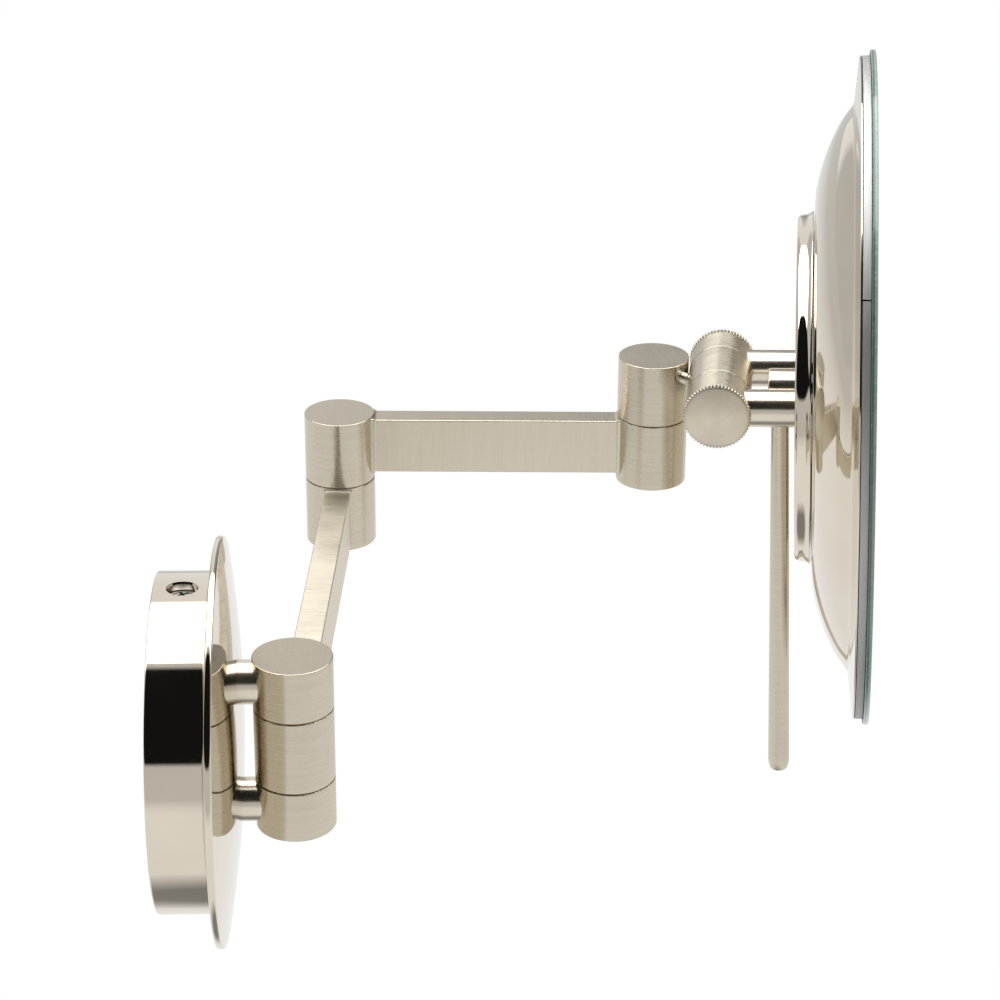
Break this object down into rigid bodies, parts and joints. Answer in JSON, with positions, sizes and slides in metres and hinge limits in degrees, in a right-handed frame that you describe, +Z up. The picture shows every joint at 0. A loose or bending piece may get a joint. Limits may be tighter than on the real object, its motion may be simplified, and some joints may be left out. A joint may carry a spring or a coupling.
{
  "type": "extendable wall mirror",
  "caption": "Round concave shaving mirror on a double swing arm with a round wall base, tilt clutch and a hanging handle rod.",
  "frame": {"origin": "centre of the base's flat face that lies against the wall", "axes": "+X out of the wall, +Z up, +Y along the wall towards the side the lower arm is parked on"},
  "size_m": [0.2503, 0.32, 0.266],
  "materials": {
    "brushed_nickel": "warm brushed nickel plate",
    "polished_nickel": "mirror-polished nickel plate",
    "screw_steel": "plain steel fasteners and pivots",
    "bearing_bronze": "oiled bronze thrust washer",
    "black_pad": "black fibre washer and foam pad",
    "silvered_glass": "silvered glass with a green cut edge"
  },
  "bodies": {
    "base": {"wall_bracket": "screw_steel", "wall_screw_near": "screw_steel", "wall_screw_far": "screw_steel", "base_drum": "polished_nickel", "drum_set_screw": "screw_steel", "cover_plate": "polished_nickel", "lug_upper": "brushed_nickel", "lug_lower": "brushed_nickel", "lug_screw_upper": "screw_steel", "lug_screw_lower": "screw_steel", "hinge_pin": "screw_steel", "hinge_washer_upper": "bearing_bronze", "hinge_washer_lower": "bearing_bronze"},
    "lower_arm": {"lower_arm_base_sleeve": "brushed_nickel", "lower_arm_bar": "brushed_nickel", "lower_arm_elbow_sleeve": "brushed_nickel", "elbow_pin": "screw_steel", "elbow_washer": "bearing_bronze"},
    "upper_arm": {"upper_arm_elbow_sleeve": "brushed_nickel", "upper_arm_bar": "brushed_nickel", "upper_arm_wrist_sleeve": "brushed_nickel", "wrist_pin": "screw_steel", "wrist_washer": "bearing_bronze"},
    "wrist": {"wrist_sleeve": "brushed_nickel", "wrist_stud": "screw_steel", "clutch_barrel": "brushed_nickel", "tilt_axle": "screw_steel"},
    "head": {"yoke_near": "brushed_nickel", "yoke_far": "brushed_nickel", "clutch_washer_near": "black_pad", "clutch_washer_far": "black_pad", "yoke_screw_near": "screw_steel", "yoke_screw_far": "screw_steel", "hub_disc": "polished_nickel", "handle_post": "brushed_nickel", "post_screw": "screw_steel", "handle_rod": "brushed_nickel", "back_shell": "polished_nickel", "glass_cushion": "black_pad", "rim_band": "polished_nickel", "mirror_glass": "silvered_glass"},
    "knob_near": {"clutch_knob_near": "brushed_nickel"},
    "knob_far": {"clutch_knob_far": "brushed_nickel"}
  },
  "joints": [
    {"name": "base_swing", "type": "hinge", "parent": "base", "child": "lower_arm", "pos_m": [0.0409, 0, 0], "axis": [0, 0, -1], "range_deg": [-5, 175]},
    {"name": "elbow_swing", "type": "hinge", "parent": "lower_arm", "child": "upper_arm", "pos_m": [0.0511, 0.17025, 0.012], "axis": [0, 0, 1], "range_deg": [-40, 200]},
    {"name": "wrist_swing", "type": "hinge", "parent": "upper_arm", "child": "wrist", "pos_m": [0.16135, 0.1671, 0.03625], "axis": [0, 0, -1], "range_deg": [-110, 65]},
    {"name": "head_tilt", "type": "hinge", "parent": "wrist", "child": "head", "pos_m": [0.18295, 0.1502, 0.05315], "axis": [0.1328, 0.9911, 0], "range_deg": [-45, 40]},
    {"name": "near_knob_turn", "type": "hinge", "parent": "wrist", "child": "knob_near", "pos_m": [0.18295, 0.1502, 0.05315], "axis": [-0.1328, -0.9911, 0], "range_deg": [-180, 180]},
    {"name": "far_knob_turn", "type": "hinge", "parent": "wrist", "child": "knob_far", "pos_m": [0.18295, 0.1502, 0.05315], "axis": [0.1328, 0.9911, 0], "range_deg": [-180, 180]}
  ]
}
